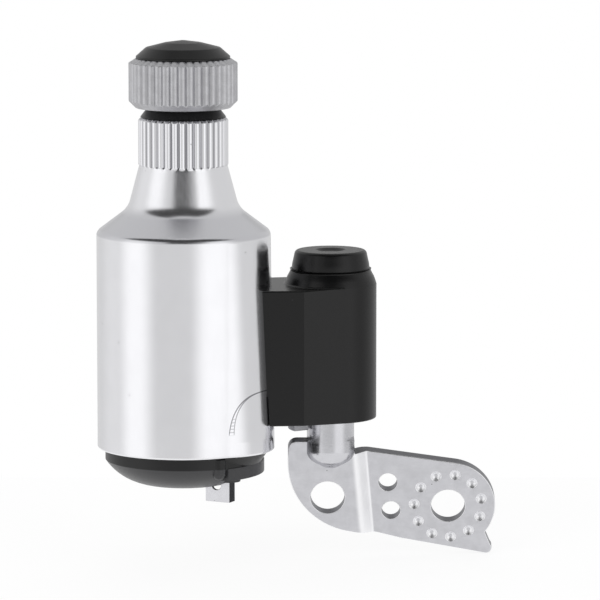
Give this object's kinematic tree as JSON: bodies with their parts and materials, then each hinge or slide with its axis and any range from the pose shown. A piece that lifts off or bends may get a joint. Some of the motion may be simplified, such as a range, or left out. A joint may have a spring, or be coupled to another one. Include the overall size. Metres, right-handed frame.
{
  "type": "bottle dynamo",
  "caption": "Friction-driven bicycle dynamo in an aluminium can with a ribbed roller, sprung hinge and stamped mounting plate.",
  "frame": {"origin": "centre of the bolt hole at the plate's round end, on the plate's rear face", "axes": "+Z along the rotor axis towards the roller, -Y towards the outer side, away from the wheel, +X from the can to the plate's bolt hole"},
  "size_m": [0.0991, 0.043, 0.1302],
  "materials": {
    "aluminium_can": "polished drawn aluminium",
    "roller_steel": "satin ground steel",
    "black_plastic": "moulded black plastic, satin",
    "base_plastic": "moulded dark grey plastic, satin",
    "zinc_plate": "stamped steel, bright zinc plated",
    "pin_steel": "turned steel, bright zinc plated",
    "bracket_metal": "die-cast light metal, as cast",
    "spring_steel": "drawn spring wire",
    "hard_steel": "hardened steel, oiled",
    "sintered_bronze": "oil-filled sintered bronze",
    "brass_strip": "rolled brass strip",
    "copper_wire": "enamelled copper wire",
    "natural_nylon": "moulded natural nylon",
    "soft_iron": "pressed soft iron, phosphated",
    "ferrite": "sintered ferrite",
    "felt": "oiled wool felt",
    "rubber_ring": "black rubber"
  },
  "bodies": {
    "bracket": {"mounting_plate": "zinc_plate", "hinge_pin": "pin_steel", "lock_collar": "hard_steel", "pin_clip": "hard_steel"},
    "bottle": {"hinge_bracket": "bracket_metal", "hinge_cover": "black_plastic", "hinge_bush_lower": "natural_nylon", "hinge_bush_upper": "natural_nylon", "torsion_spring": "spring_steel", "button_spring": "spring_steel", "can_shell": "aluminium_can", "end_shield": "black_plastic", "bush_upper": "sintered_bronze", "bush_lower": "sintered_bronze", "felt_ring": "felt", "claw_upper": "soft_iron", "claw_lower": "soft_iron", "yoke_ring": "soft_iron", "coil_bobbin": "natural_nylon", "coil_winding": "copper_wire", "coil_lead": "copper_wire", "base_cover": "base_plastic", "base_seal": "rubber_ring", "contact_bridge": "brass_strip", "terminal_spring": "spring_steel"},
    "rotor": {"rotor_shaft": "pin_steel", "thrust_washer": "natural_nylon", "magnet_hub": "base_plastic", "magnet_ring": "ferrite", "rotor_clip": "hard_steel", "drive_roller": "roller_steel", "roller_washer": "pin_steel", "roller_nut": "pin_steel", "roller_cap": "black_plastic"},
    "button": {"release_button": "black_plastic"},
    "terminal": {"terminal_tab": "pin_steel"}
  },
  "joints": [
    {"name": "bottle_swing", "type": "hinge", "parent": "bracket", "child": "bottle", "pos_m": [-0.0295, -0.00587, 0.022], "axis": [0, 0, -1], "range_deg": [0, 25], "deforming": ["torsion_spring"]},
    {"name": "rotor_spin", "type": "hinge", "parent": "bottle", "child": "rotor", "pos_m": [-0.06582, -0.01117, 0.1], "axis": [0, 0, 1], "continuous": true},
    {"name": "button_press", "type": "slide", "parent": "bottle", "child": "button", "axis": [0, 0, -1], "range_m": [0, 0.0025], "stiffness_N_per_m": 1500, "springref_m": -0.002, "deforming": ["button_spring"]},
    {"name": "terminal_press", "type": "slide", "parent": "bottle", "child": "terminal", "axis": [0, 0, 1], "range_m": [0, 0.002], "stiffness_N_per_m": 500, "springref_m": -0.002, "deforming": ["terminal_spring"]}
  ]
}
